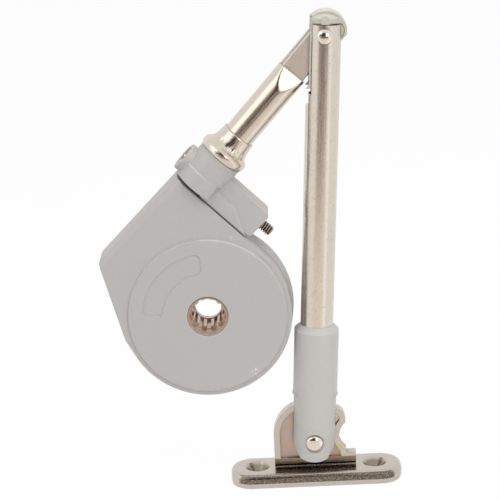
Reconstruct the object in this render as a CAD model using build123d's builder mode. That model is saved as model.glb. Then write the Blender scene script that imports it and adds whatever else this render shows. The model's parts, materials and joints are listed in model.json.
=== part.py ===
from build123d import *
from math import acos, atan2, cos, degrees, radians, sin, sqrt
import os

# Folding lid stay with a spring drum. All sizes in millimetres.
# X runs to the right, Z up, and Y back to the wall, so a height above the wall is -Y.
# The origin is on the hub's axis, in the plane of the wall.

# Drum casing
cover_r = 30.8
housing_step = 0.9
housing_draft = 0.5
casing_wall = 2.2
cover_wall = 2.3
parting_h = 8.6
cover_face_h = 14.7
disc_inset = 1.6
disc_rise = 0.8
disc_edge = 0.7
shoulder_angle = 135
shoulder_dist = 42.6
flank_angle = 194.7
casing_corner_r = 1.5
shoulder_round = 3.2
recess_r_in = 16.3
recess_r_out = 24.0
recess_from = 94.3
recess_to = 177.3
recess_corner_r = 2.0
recess_depth = 0.35
mouth_chamfer = 0.5
rim_round = 0.45

# Hub
journal_r = 7.2
barrel_r = 9.4
pilot_r = 5.0
pilot_len = 2.4
spline_root_r = 6.0
spline_tip_r = 5.2
spline_count = 12
spline_gap = 1.5
spline_top_h = 11.0
throat_r = 6.2
hub_mouth_r = 6.75
nose_sink = 0.2
washer_t = 0.5
washer_r = 11.5
thrust_gap = 0.1
running_gap = 0.08
fit_gap = 0.05
head_gap = 0.2
cut_over = 1.0

# Arm in the drum: its direction, its distance from the hub and its height above the wall
arm_angle = 47.8
arm_dist = 33.26
arm_h = 9.3
arm_r = 5.65
arm_wall = 0.9
arm_in_band = 1.55
press_wall = 0.8
press_sag = 0.7
press_len = 7.5
press_flat = 1.6
fold_gap = 0.13
link_bare = 17.4

# Neck of the casing
band_r = 8.6
band_off = 3.3
band_len = 5.8
band_round = 0.2
collar_r = 8.3
collar_len = 8.2
band_cut = 5.2
neck_half = 7.4
neck_sink = 6.8
neck_low_h = 1.2
panel_h = 13.6
groove_w = 0.3
panel_w = 5.5
panel_knee = -19.3
panel_tip = -9.7
panel_bevel = 0.45
bar_from = -32.0
bar_off = 1.2
bar_w = 10.7
bar_end = -8.4
bar_back_h = 1.0
bar_front_h = 12.8
bar_ridge_r = 2.8
bar_end_r = 1.4
web_sink = 3.8
web_lap = 1.0
rear_chamfer = 0.4

# Adjusting screw: parallel to the casing's cut edge, at right angles to its shoulder
screw_angle = -45
screw_in_bar = 5.6
screw_h = 7.6
screw_r = 2.1
screw_gap = 0.2
screw_tip = -3.2
tip_chamfer = 0.5
head_face = -45.2
head_r = 3.9
head_t = 2.3
head_round = 0.6
boss_r = 5.4
boss_face = -45.5
boss_to = -37.0
boss_round = 0.4
cross_arm = 4.2
cross_w = 1.0
cross_depth = 1.4
head_washer_t = 0.5
clip_t = 0.8
clip_r = 3.3
clip_groove_r = 1.6
clip_slot = 2.6

# Shoe, nut and chamber along the screw
chamber_from = -26.6
chamber_to = -10.6
chamber_half_q = 3.6
chamber_half_h = 4.3
shoe_from = -22.0
shoe_to = -13.8
shoe_gap = 0.15
nut_across = 6.0
nut_t = 2.6
nut_to = -14.6

# Drum spring: flat strip wound outwards
strip_w = 8.0
strip_t = 1.4
coil_in = 11.0
coil_gap = 1.6
coil_turns = 5
coil_steps = 12
hook_tip_w = -19.5
hook_short = 1.6
hub_slot_r = 7.6
hook_gap = 0.2
tongue_w = 3.6
tongue_gap = 0.4
prong_w = 1.6
prong_lead = 1.0
passage_sink = 4.6
passage_from = -22.2
passage_to = -11.3

# Ferrule on the tube
ferrule_r = 9.1
ferrule_seat_r = 8.4
ferrule_shoulder_r = 7.9
ferrule_flange_t = 3.9
cone_wall = 0.9
cone_len = 2.8
ferrule_wall = 0.55
ferrule_len = 6.6
ferrule_lip = 0.25

# Link and liner of the elbow
link_t = 3.0
link_back_h = 9.0
link_w = 9.2
link_in_arm = 12.0
link_eye_r = 4.1
liner_eye_r = 3.8
liner_end_cut = 1.0
link_edge = 0.5
liner_t = 2.8
liner_w = 10.1
liner_gap = 0.3
liner_in_arm = 8.0
liner_tongue_w = 8.4
liner_cut = 1.8

# Outer arm
stay_angle = 86.55
stay_len = 151.8
stay_r = 6.03
stay_wall = 1.0
stay_from = 20.0
stay_over = 3.8
slot_len = 21.0
slot_depth = 1.83
step_len = 4.3
step_depth = 1.08
link_slot_half = 3.4
eye_slot_half = 3.9
eye_gap = 0.3
eye_slot_r = 5.35
seam_inset = 1.13
seam_w = 0.3
seam_depth = 0.4

# Rivets, and where the curve of a dome is widest: share of its radius and of its height
rivet_r = 2.0
dome_mid_r = 0.72
dome_mid_t = 0.66
elbow_head_r = 2.85
elbow_sink = 0.43
elbow_head_t = 1.3
foot_head_r = 3.2
foot_head_t = 1.4
elbow_washer_r = 3.0
elbow_washer_gap = 0.05
foot_washer_r = 4.2
foot_washer_t = 0.5

# Cap over the elbow
cap_over = 3.7
cap_up = 1.2
cap_aside = 0.5
fin_slant = 2.4
fin_half = 1.0
fin_gap = 0.1
fin_slant_w = 2.1
cap_pocket_gap = 1.95
cap_half = 3.85
cap_wall = 0.5
cap_edge = 0.9
cap_open_rise = 6.7
cap_open_from = 2.5
cap_drop = 2.1
dome_over = 0.05
dome_gap = 0.7
dome_t = 4.15
dome_lip = 1.65
tab_w = 2.85
tab_len = 3.1
tab_over = 0.3
tab_proud = 0.3
rail_off = 2.2
rail_in = 3.35
rail_inset = 0.08
rail_lap = 0.6
rail_toe = 1.1
rail_toe_t = 1.4

# Fork sleeve
sleeve_wall = 2.17
sleeve_top = 44.8
sleeve_chamfer = 2.0
sleeve_lip = 0.3
sleeve_lip_t = 1.2
sleeve_lip_open = 7.0
fork_inset = 0.15
fork_root_gap = 2.06
fork_side_gap = 0.6
fork_low = 7.2
fork_low_half = 5.0
fork_corner_rise = 6.0
fork_belly = 0.9
rivet_ring_r = 3.75
rivet_ring_sink = 1.1

# Foot bracket
plate_len = 64.0
plate_w = 18.6
plate_t = 5.2
plate_drop = 11.3
plate_shift = 0.4
plate_corner_r = 8.0
plate_edge = 2.0
foot_step = 1.0
foot_step_in = 0.35
hole_spacing = 44.0
hole_r = 2.2
sink_r = 4.65
lug_t = 4.0
lug_horn_x = 7.55
lug_horn_z = 7.5
lug_horn_r = 4.35
lug_horn_round = 1.2
lug_right = 15.43
lug_head_x = -1.96
lug_head_z = 1.5
lug_head_r = 13.07
lug_shelf = -6.4
notch_x = 16.36
notch_z = 0.53
notch_r = 6.93
rim_w = 2.25
rim_low = 1.4
lug_recess = 1.0
pivot_boss_r = 4.6
neck_groove = 0.8

# Screws that join the casing halves, from the back
joint_screw_r = 1.5
joint_head_r = 2.8
joint_head_t = 1.9
joint_head_sink = 0.3
joint_screw_top_h = 12.6
joint_screw_hole_r = 1.6
joint_spots = [(-30.4, 24.6), (-8.6, 42.0)]


def along(angle, length):
    # Point in the front view, at this angle and distance from the hub's axis
    return (length * cos(radians(angle)), length * sin(radians(angle)))


def side_plane(point, angle, height=0):
    # Seen from the front: x runs along the line, y to its left, z away from the wall
    direction = along(angle, 1)
    return Plane(
        origin=(point[0], -height, point[1]),
        x_dir=(direction[0], 0, direction[1]),
        z_dir=(0, -1, 0),
    )


def cross_plane(point, angle, height):
    # Across the line: x to its left, y away from the wall, z along the line
    direction = along(angle, 1)
    return Plane(
        origin=(point[0], -height, point[1]),
        x_dir=(-direction[1], 0, direction[0]),
        z_dir=(direction[0], 0, direction[1]),
    )


def corner(angle_a, dist_a, angle_b, dist_b):
    # Where two lines meet, each given by its normal's angle and its distance from the hub
    turn = sin(radians(angle_b - angle_a))
    x = (dist_a * sin(radians(angle_b)) - dist_b * sin(radians(angle_a))) / turn
    z = (dist_b * cos(radians(angle_a)) - dist_a * cos(radians(angle_b))) / turn
    return (x, z)


# Sizes and places worked out from the driving sizes
front = Plane.XZ
housing_r = cover_r + housing_step
cavity_r = cover_r - casing_wall
disc_r = cover_r - disc_inset
cover_top_h = cover_face_h + disc_rise
ceiling_h = cover_top_h - cover_wall
barrel_low_h = casing_wall + thrust_gap + washer_t
barrel_top_h = ceiling_h - thrust_gap - washer_t
nose_h = cover_top_h - nose_sink
hub_bore_r = journal_r + running_gap
cut_angle = screw_angle + 90

# The folded stay stands beside the drum, which sets how far up the arm the elbow lies
sleeve_r = stay_r + sleeve_wall
stay_dist = housing_r + sleeve_r + fold_gap
fold_angle = radians(stay_angle - arm_angle)
elbow_reach = (stay_dist + arm_dist * cos(fold_angle)) / sin(fold_angle)
arm_to = elbow_reach - link_bare
press_from = arm_to - press_len
press_flat_from = arm_to - press_flat
link_from = arm_to - link_in_arm
liner_from = arm_to + liner_gap
liner_tongue_from = arm_to - liner_in_arm
band_from = cover_r + band_off
band_to = band_from + band_len
collar_to = band_to + collar_len
neck_from = cover_r - neck_sink
arm_from = band_from + arm_in_band
arm_foot = along(arm_angle + 90, arm_dist)
arm_side = side_plane(arm_foot, arm_angle)
arm_cross = cross_plane(arm_foot, arm_angle, arm_h)
arm_mid = side_plane(arm_foot, arm_angle, arm_h)
arm_axis = Axis(arm_mid.origin, arm_mid.x_dir)

panel_low = cover_r + groove_w
panel_top = panel_low + panel_w
bar_low = cover_r + bar_off
bar_top = bar_low + bar_w
web_low = cover_r - web_sink
screw_dist = bar_low + screw_in_bar
screw_hole_r = screw_r + screw_gap
screw_foot = along(cut_angle, screw_dist)
screw_side = side_plane((0, 0), screw_angle)
screw_cross = cross_plane(screw_foot, screw_angle, screw_h)
screw_mid = side_plane(screw_foot, screw_angle, screw_h)
screw_axis = Axis(screw_mid.origin, screw_mid.x_dir)

elbow = (
    arm_foot[0] + elbow_reach * cos(radians(arm_angle)),
    arm_foot[1] + elbow_reach * sin(radians(arm_angle)),
)
pivot = (
    elbow[0] - stay_len * cos(radians(stay_angle)),
    elbow[1] - stay_len * sin(radians(stay_angle)),
)
stay_cross = cross_plane(pivot, stay_angle, arm_h)
stay_mid = side_plane(pivot, stay_angle, arm_h)
stay_axis = Axis(stay_mid.origin, stay_mid.x_dir)

top_corner = corner(cut_angle, cover_r, shoulder_angle, shoulder_dist)
left_corner = corner(shoulder_angle, shoulder_dist, flank_angle, housing_r)
flank_end_angle = flank_angle + degrees(acos(cover_r / housing_r))
head_seat = head_face + head_t + head_washer_t + 2 * fit_gap
casing_points = [
    (0, 0),
    along(cut_angle, cover_r),
    top_corner,
    left_corner,
    along(flank_angle, housing_r),
    along(flank_end_angle, cover_r),
]

passage_low = cavity_r - passage_sink
hook_tip_q = screw_dist - hook_short
hook_r = sqrt(hook_tip_w**2 + hook_tip_q**2)
hook_angle = screw_angle + degrees(atan2(hook_tip_q, hook_tip_w))
hook_side = side_plane((0, 0), hook_angle)
coil_out = cavity_r - coil_gap
coil_pitch = (coil_out - coil_in) / coil_turns
strip_low_h = screw_h - strip_w / 2
arm_hole_r = arm_r + fit_gap
stay_bore_r = stay_r - stay_wall
elbow_washer_h = sqrt(stay_bore_r**2 - elbow_washer_r**2) - elbow_washer_gap
stay_top = stay_len + stay_over
slot_from = stay_len - slot_len
slot_cut = stay_r - slot_depth
step_from = slot_from - step_len
step_cut = stay_r - step_depth
seam_offset = stay_r - seam_inset
elbow_seat = stay_r - elbow_sink
cap_r = liner_eye_r + cap_over
cap_pocket_r = liner_eye_r + cap_pocket_gap
cap_left = slot_cut + cap_edge
cap_low = stay_len - cap_drop
eye_low = cap_low - eye_gap
dome_r = stay_r + dome_over
dome_from = stay_top + dome_gap
dome_rise = dome_t - dome_lip
dome_curve_r = (dome_r**2 + dome_rise**2) / (2 * dome_rise)
rail_from = slot_from + rail_off
rail_out = sqrt(stay_r**2 - slot_cut**2) - rail_inset
sleeve_lip_r = sleeve_r + sleeve_lip
fork_half = sleeve_r - fork_inset
lug_left = lug_head_r - lug_head_x
head_reach = sqrt(lug_head_x**2 + lug_head_z**2) + lug_head_r
horn_reach = sqrt(lug_horn_x**2 + lug_horn_z**2) + lug_horn_r
fork_root = max(head_reach, horn_reach) + fork_root_gap
fork_slot_half = lug_t / 2 + fork_side_gap
liner_back_h = link_back_h - liner_t
link_top_h = link_back_h + link_t
tongue_end = (screw_dist - chamber_half_q - tongue_gap) / sin(radians(hook_angle - screw_angle))
chamber_low_h = screw_h - chamber_half_h
ferrule_flange_top = collar_to + ferrule_flange_t
ferrule_top = ferrule_flange_top + ferrule_len
cone_at = ferrule_flange_top + cone_len
cone_r = arm_r + cone_wall
ferrule_top_r = arm_r + ferrule_wall
press_plane = Plane(origin=arm_mid.origin, x_dir=arm_mid.x_dir, z_dir=-arm_mid.y_dir)
press_front = link_top_h + fit_gap + press_wall - arm_h
press_mid = ((press_from + press_flat_from) / 2 - press_sag, (arm_r + press_front) / 2 - press_sag)
hollow_front = liner_back_h - arm_h
back_chord = sqrt((arm_r - arm_wall) ** 2 - hollow_front**2)
elbow_plane = side_plane(elbow, 0, arm_h)
elbow_section = Plane(origin=elbow_plane.origin, x_dir=(1, 0, 0), z_dir=(0, 0, 1))
elbow_line = Axis(elbow_plane.origin, elbow_plane.z_dir)
pivot_plane = side_plane(pivot, 0, arm_h)
pivot_section = Plane(origin=pivot_plane.origin, x_dir=(1, 0, 0), z_dir=(0, 0, 1))
pivot_line = Axis(pivot_plane.origin, pivot_plane.z_dir)
plate_plane = Plane(origin=(pivot[0] + plate_shift, -arm_h, pivot[1] - plate_drop - plate_t))
seam_front = sqrt(stay_r**2 - seam_offset**2)
seam_turn = degrees(atan2(seam_front, seam_offset))
fork_corner = fork_corner_rise - fork_low
foot_seat = sleeve_r - rivet_ring_sink
lip_taper = degrees(atan2(sleeve_lip_r - sleeve_r, sleeve_lip_t))
groove_at = chamber_from + fit_gap / 2
screw_profile = [
    (head_face, 0),
    (head_face, head_r - head_round),
    (head_face + head_round, head_r),
    (head_face + head_t, head_r),
    (head_face + head_t, screw_r),
    (groove_at, screw_r),
    (groove_at, clip_groove_r),
    (groove_at + clip_t + fit_gap, clip_groove_r),
    (groove_at + clip_t + fit_gap, screw_r),
    (screw_tip - tip_chamfer, screw_r),
    (screw_tip, screw_r - tip_chamfer),
    (screw_tip, 0),
]


def coil_side(shift):
    # Points along one side of the wound strip, evenly spaced
    points = []
    for i in range(coil_turns * coil_steps + 1):
        turned = i / coil_steps
        points.append(along(hook_angle + 360 * turned, coil_in + coil_pitch * turned + shift))
    return points


# Hub: pilot and splined bore for the stud, and a barrel with a slot for the spring
with BuildPart() as hub:
    with BuildSketch(Plane.XY):
        with BuildLine():
            Polyline(
                (pilot_r, 0),
                (journal_r, 0),
                (journal_r, -barrel_low_h),
                (barrel_r, -barrel_low_h),
                (barrel_r, -barrel_top_h),
                (journal_r, -barrel_top_h),
                (journal_r, -nose_h),
                (hub_mouth_r, -nose_h),
                (throat_r, -spline_top_h),
                (spline_tip_r, -spline_top_h),
                (spline_tip_r, -pilot_len),
                (pilot_r, -pilot_len),
                close=True,
            )
        make_face()
    revolve(axis=Axis.Y)
    with BuildSketch(front.offset(pilot_len)):
        with PolarLocations(spline_root_r - spline_gap / 2, spline_count):
            Rectangle(spline_gap, spline_gap)
    extrude(amount=spline_top_h, mode=Mode.SUBTRACT)
    with BuildSketch(hook_side.offset(barrel_low_h)):
        with Locations(((hub_slot_r + coil_in) / 2, 0)):
            Rectangle(coil_in - hub_slot_r, strip_t + 2 * hook_gap)
    extrude(amount=barrel_top_h - barrel_low_h, mode=Mode.SUBTRACT)
hub.part.label = "hub"

# Thrust washers at both ends of the hub's barrel
with BuildPart() as hub_washers:
    for low_h in (barrel_low_h - washer_t, barrel_top_h):
        with BuildSketch(front.offset(low_h)):
            Circle(washer_r)
            Circle(journal_r + fit_gap, mode=Mode.SUBTRACT)
        extrude(amount=washer_t)
hub_washers.part.label = "hub_washers"

# Front cover: flat face with a raised disc, a broad rounding along its shoulder and an arc recess
with BuildPart() as front_cover:
    with BuildSketch(front.offset(parting_h)) as cover_outline:
        Circle(cover_r)
        with BuildLine():
            Polyline(*casing_points, close=True)
        make_face()
        outer = cover_outline.vertices().sort_by_distance(left_corner)[0]
        fillet(outer, casing_corner_r)
    extrude(amount=cover_face_h - parting_h)
    fillet(front_cover.edges().group_by(Axis.Y)[0], rim_round)
    with BuildSketch(cross_plane(along(shoulder_angle, shoulder_dist), shoulder_angle + 90, cover_face_h)):
        with BuildLine():
            RadiusArc((shoulder_round, 0), (0, -shoulder_round), -shoulder_round)
            Polyline(
                (0, -shoulder_round),
                (-cut_over, -shoulder_round),
                (-cut_over, cut_over),
                (shoulder_round, cut_over),
                (shoulder_round, 0),
            )
        make_face()
    extrude(amount=shoulder_dist, both=True, mode=Mode.SUBTRACT)
    with BuildSketch(front.offset(cover_face_h)):
        Circle(disc_r)
    extrude(amount=disc_rise)
    fillet(front_cover.edges().group_by(Axis.Y)[0], disc_edge)
    with BuildSketch(front.offset(parting_h)):
        Circle(cavity_r)
    extrude(amount=ceiling_h - parting_h, mode=Mode.SUBTRACT)
    with BuildSketch(front.offset(ceiling_h)):
        Circle(hub_bore_r)
    extrude(amount=cover_top_h - ceiling_h, mode=Mode.SUBTRACT)
    mouth = front_cover.edges().filter_by(GeomType.CIRCLE).group_by(Axis.Y)[0].sort_by(SortBy.RADIUS)[0]
    chamfer(mouth, mouth_chamfer)
    with BuildSketch(front.offset(cover_top_h - recess_depth)) as arc_recess:
        with BuildLine():
            CenterArc((0, 0), recess_r_out, recess_from, recess_to - recess_from)
            CenterArc((0, 0), recess_r_in, recess_from, recess_to - recess_from)
            Line(along(recess_from, recess_r_in), along(recess_from, recess_r_out))
            Line(along(recess_to, recess_r_in), along(recess_to, recess_r_out))
        make_face()
        fillet(arc_recess.vertices(), recess_corner_r)
    extrude(amount=2 * recess_depth, mode=Mode.SUBTRACT)
    with BuildSketch(front.offset(parting_h)):
        with Locations(*joint_spots):
            Circle(joint_screw_r + fit_gap)
    extrude(amount=joint_screw_top_h - parting_h + fit_gap, mode=Mode.SUBTRACT)
front_cover.part.label = "front_cover"

# Rear housing: tray of the drum, neck with the collar, screw boss, panel and bar
with BuildPart() as rear_housing:
    with BuildSketch(screw_side.offset(bar_back_h)):
        with BuildLine():
            Polyline(
                (bar_from, bar_low),
                (bar_end, bar_low),
                (bar_end, bar_top),
                (bar_from, bar_top),
                close=True,
            )
        make_face()
    extrude(amount=bar_front_h - bar_back_h)
    bar_front = rear_housing.faces().sort_by(Axis.Y)[0]
    fillet(bar_front.edges().sort_by(Axis.Z)[-1], bar_ridge_r)
    ends = rear_housing.edges().filter_by(Axis.Y).sort_by(screw_axis)[-2:]
    fillet(ends, bar_end_r)
    with BuildSketch(screw_side.offset(bar_back_h)):
        with BuildLine():
            Polyline(
                (bar_from, panel_low),
                (panel_tip, panel_low),
                (panel_knee, panel_top),
                (bar_from, panel_top),
                close=True,
            )
        make_face()
    extrude(amount=panel_h - bar_back_h)
    panel_edges = rear_housing.faces().sort_by(Axis.Y)[0].edges()
    chamfer(panel_edges, panel_bevel)
    with BuildSketch(Plane(origin=arm_mid.origin, x_dir=arm_mid.x_dir, z_dir=-arm_mid.y_dir)):
        with BuildLine():
            Polyline(
                (band_from, 0),
                (band_from, band_r),
                (band_to - band_round, band_r),
                (band_to, band_r - band_round),
                (band_to, 0),
                close=True,
            )
        make_face()
    revolve(axis=arm_axis)
    with BuildSketch(arm_side.offset(panel_h)):
        with Locations(((band_from + band_to) / 2, -band_cut - band_r / 2)):
            Rectangle(band_to - band_from, band_r)
    extrude(amount=band_r, mode=Mode.SUBTRACT)
    with BuildSketch(arm_cross.offset(band_to)):
        Circle(collar_r)
    extrude(amount=collar_to - band_to)
    with BuildSketch(screw_cross.offset(boss_face)):
        Circle(boss_r)
    extrude(amount=boss_to - boss_face)
    fillet(rear_housing.edges().filter_by(GeomType.CIRCLE).sort_by(screw_axis)[0], boss_round)
    with BuildSketch(arm_side.offset(neck_low_h)):
        with Locations(((neck_from + band_to) / 2, 0)):
            Rectangle(band_to - neck_from, 2 * neck_half)
    extrude(amount=parting_h - neck_low_h)
    with BuildSketch(screw_side.offset(bar_back_h)):
        with Locations(((bar_from + panel_tip) / 2, (web_low + bar_low + web_lap) / 2)):
            Rectangle(panel_tip - bar_from, bar_low + web_lap - web_low)
    extrude(amount=parting_h - bar_back_h)
    with BuildSketch(front) as tray_outline:
        with BuildLine():
            Polyline(*casing_points, close=True)
        make_face()
        outer = tray_outline.vertices().sort_by_distance(left_corner)[0]
        fillet(outer, casing_corner_r)
    extrude(amount=parting_h)
    with BuildSketch(Plane.XY):
        with BuildLine():
            Polyline(
                (0, 0),
                (housing_r - rear_chamfer, 0),
                (housing_r, -rear_chamfer),
                (housing_r - housing_draft, -parting_h),
                (0, -parting_h),
                close=True,
            )
        make_face()
    revolve(axis=Axis.Y)
    with BuildSketch(front.offset(casing_wall)):
        Circle(cavity_r)
    extrude(amount=parting_h - casing_wall, mode=Mode.SUBTRACT)
    with BuildSketch(front):
        Circle(hub_bore_r)
    extrude(amount=casing_wall, mode=Mode.SUBTRACT)
    with BuildSketch(screw_side.offset(strip_low_h - hook_gap)):
        with BuildLine():
            Polyline(
                (passage_from, passage_low),
                (passage_to, passage_low),
                (passage_to, screw_dist),
                (passage_from, screw_dist),
                close=True,
            )
        make_face()
    extrude(amount=tongue_w + 2 * hook_gap, mode=Mode.SUBTRACT)
    with BuildSketch(screw_cross.offset(chamber_from)):
        Rectangle(2 * chamber_half_q, 2 * chamber_half_h)
    extrude(amount=chamber_to - chamber_from, mode=Mode.SUBTRACT)
    with BuildSketch(arm_cross.offset(arm_from - fit_gap)):
        Circle(arm_hole_r)
    extrude(amount=collar_to, mode=Mode.SUBTRACT)
    with BuildSketch(screw_cross.offset(boss_face)):
        Circle(screw_hole_r)
    extrude(amount=bar_end - boss_face, mode=Mode.SUBTRACT)
    with BuildSketch(screw_cross.offset(boss_face)):
        Circle(head_r + head_gap)
    extrude(amount=head_seat - boss_face, mode=Mode.SUBTRACT)
    with BuildSketch(front):
        with Locations(*joint_spots):
            Circle(joint_screw_hole_r)
    extrude(amount=parting_h, mode=Mode.SUBTRACT)
    with BuildSketch(front):
        with Locations(*joint_spots):
            Circle(joint_head_r + head_gap)
    extrude(amount=joint_head_t + head_gap, mode=Mode.SUBTRACT)
rear_housing.part.label = "rear_housing"

# Screws that join the casing halves, put in from the back
with BuildPart() as housing_screws:
    with BuildSketch(front.offset(joint_head_sink)):
        with Locations(*joint_spots):
            Circle(joint_head_r)
    extrude(amount=joint_head_t - joint_head_sink + fit_gap)
    with BuildSketch(front.offset(joint_head_t)):
        with Locations(*joint_spots):
            Circle(joint_screw_r)
    extrude(amount=joint_screw_top_h - joint_head_t)
    with BuildSketch(front.offset(joint_head_sink)):
        with Locations(*joint_spots):
            Rectangle(2 * joint_screw_r, cross_w)
            Rectangle(cross_w, 2 * joint_screw_r)
    extrude(amount=joint_head_t / 2, mode=Mode.SUBTRACT)
housing_screws.part.label = "housing_screws"

# Drum spring: wound strip, inner hook in the hub's slot, outer tongue and prong in the shoe
with BuildPart() as drum_spring:
    with BuildSketch(front.offset(strip_low_h)):
        with BuildLine():
            outside = Spline(*coil_side(strip_t / 2))
            inside = Spline(*coil_side(-strip_t / 2))
            Line(outside @ 0, inside @ 0)
            Line(outside @ 1, inside @ 1)
        make_face()
    extrude(amount=strip_w)
    with BuildSketch(hook_side.offset(strip_low_h)):
        with Locations(((hub_slot_r + hook_gap + coil_in) / 2, 0)):
            Rectangle(coil_in - hub_slot_r - hook_gap, strip_t)
    extrude(amount=strip_w)
    with BuildSketch(hook_side.offset(strip_low_h)):
        with Locations(((coil_out + tongue_end) / 2, 0)):
            Rectangle(tongue_end - coil_out, strip_t)
    extrude(amount=tongue_w)
    with BuildSketch(hook_side.offset(strip_low_h)):
        with Locations(((tongue_end + hook_r) / 2, 0)):
            Rectangle(hook_r - tongue_end, strip_t)
    extrude(amount=prong_w)
drum_spring.part.label = "drum_spring"

# Shoe: block in the bar's chamber, with a pocket for the nut and a slot for the prong
with BuildPart() as spring_shoe:
    with BuildSketch(screw_cross.offset(shoe_from)):
        Rectangle(2 * (chamber_half_q - shoe_gap), 2 * (chamber_half_h - shoe_gap))
    extrude(amount=shoe_to - shoe_from)
    with BuildSketch(screw_cross.offset(shoe_from)):
        Circle(screw_hole_r)
    extrude(amount=shoe_to - shoe_from, mode=Mode.SUBTRACT)
    with BuildSketch(screw_cross.offset(nut_to - nut_t - fit_gap)):
        with Locations((chamber_half_q / 2, 0)):
            Rectangle(nut_across + chamber_half_q + 2 * fit_gap, nut_across + 2 * fit_gap)
    extrude(amount=nut_t + 2 * fit_gap, mode=Mode.SUBTRACT)
    with BuildSketch(hook_side.offset(chamber_low_h)):
        with Locations(((tongue_end - prong_lead + hook_r + hook_gap) / 2, 0)):
            Rectangle(hook_r + hook_gap - tongue_end + prong_lead, strip_t + 2 * hook_gap)
    extrude(amount=strip_low_h + prong_w + hook_gap - chamber_low_h, mode=Mode.SUBTRACT)
spring_shoe.part.label = "spring_shoe"

# Square nut in the shoe
with BuildPart() as shoe_nut:
    with BuildSketch(screw_cross.offset(nut_to - nut_t)):
        Rectangle(nut_across, nut_across)
        Circle(screw_r + fit_gap, mode=Mode.SUBTRACT)
    extrude(amount=nut_t)
shoe_nut.part.label = "shoe_nut"

# Adjusting screw: pan head with a cross recess, and a groove for the clip
with BuildPart() as adjusting_screw:
    with BuildSketch(screw_mid):
        with BuildLine():
            Polyline(*screw_profile, close=True)
        make_face()
    revolve(axis=screw_axis)
    with BuildSketch(screw_cross.offset(head_face)):
        Rectangle(cross_arm, cross_w)
        Rectangle(cross_w, cross_arm)
    extrude(amount=cross_depth, mode=Mode.SUBTRACT)
adjusting_screw.part.label = "adjusting_screw"

# Washer under the screw's head
with BuildPart() as screw_washer:
    with BuildSketch(screw_cross.offset(head_face + head_t + fit_gap)):
        Circle(head_r)
        Circle(screw_r + fit_gap, mode=Mode.SUBTRACT)
    extrude(amount=head_washer_t - fit_gap)
screw_washer.part.label = "screw_washer"

# Clip in the screw's groove, against the chamber's end
with BuildPart() as screw_clip:
    with BuildSketch(screw_cross.offset(chamber_from + fit_gap)):
        Circle(clip_r)
        Circle(clip_groove_r + fit_gap, mode=Mode.SUBTRACT)
        with Locations((clip_r, 0)):
            Rectangle(2 * clip_r, clip_slot, mode=Mode.SUBTRACT)
    extrude(amount=clip_t)
screw_clip.part.label = "screw_clip"

# Ferrule: round flange on the collar, then a cone up to a thin sleeve on the tube
with BuildPart() as arm_ferrule:
    with BuildSketch(arm_mid):
        with BuildLine():
            Polyline(
                (ferrule_flange_top, ferrule_shoulder_r),
                (cone_at, cone_r),
                (ferrule_top, ferrule_top_r),
                (ferrule_top, arm_hole_r + ferrule_lip),
                (ferrule_top - 2 * ferrule_lip, arm_hole_r),
                (collar_to, arm_hole_r),
                (collar_to, ferrule_seat_r),
            )
            ThreePointArc(
                (collar_to, ferrule_seat_r),
                (collar_to + ferrule_flange_t / 2, ferrule_r),
                (ferrule_flange_top, ferrule_shoulder_r),
            )
        make_face()
    revolve(axis=arm_axis)
arm_ferrule.part.label = "arm_ferrule"

# Inner arm: tube with its front wall pressed down onto the link at the upper end
with BuildPart() as inner_arm:
    with BuildSketch(arm_cross.offset(arm_from)):
        Circle(arm_r)
    extrude(amount=arm_to - arm_from)
    with BuildSketch(arm_cross.offset(arm_from)):
        Circle(arm_r - arm_wall)
    extrude(amount=press_from - arm_from, mode=Mode.SUBTRACT)
    with BuildSketch(press_plane) as scoop:
        with BuildLine():
            Line((press_from, arm_r + cut_over), (press_from, arm_r))
            ThreePointArc((press_from, arm_r), press_mid, (press_flat_from, press_front))
            Line((press_flat_from, press_front), (arm_to, press_front))
            Line((arm_to, press_front), (arm_to, arm_r + cut_over))
            Line((arm_to, arm_r + cut_over), (press_from, arm_r + cut_over))
        make_face()
    extrude(amount=arm_r, both=True, mode=Mode.SUBTRACT)
    with BuildSketch(arm_cross.offset(press_from)):
        with BuildLine():
            Line((-back_chord, hollow_front), (back_chord, hollow_front))
            ThreePointArc((-back_chord, hollow_front), (0, arm_wall - arm_r), (back_chord, hollow_front))
        make_face()
    extrude(amount=arm_to - press_from, mode=Mode.SUBTRACT)
    with BuildSketch(arm_side.offset(liner_back_h)):
        with Locations(((link_from + arm_to) / 2, 0)):
            Rectangle(arm_to - link_from, link_w + 2 * fit_gap)
    extrude(amount=link_top_h - liner_back_h + fit_gap, mode=Mode.SUBTRACT)
    with BuildSketch(screw_cross.offset(boss_face)):
        Circle(screw_hole_r)
    extrude(amount=-boss_face + chamber_from, mode=Mode.SUBTRACT)
inner_arm.part.label = "inner_arm"

# Link: flat bar held in the pressed end, with a round eye at the elbow
with BuildPart() as arm_link:
    with BuildSketch(arm_side.offset(link_back_h)):
        with Locations(((link_from + elbow_reach) / 2, 0)):
            Rectangle(elbow_reach - link_from, link_w)
        with Locations((elbow_reach, 0)):
            Circle(link_eye_r)
            Circle(rivet_r + running_gap, mode=Mode.SUBTRACT)
    extrude(amount=link_t)
    link_front = arm_link.faces().sort_by(Axis.Y)[0]
    fillet(link_front.outer_wire().edges(), link_edge)
arm_link.part.label = "arm_link"

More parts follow.
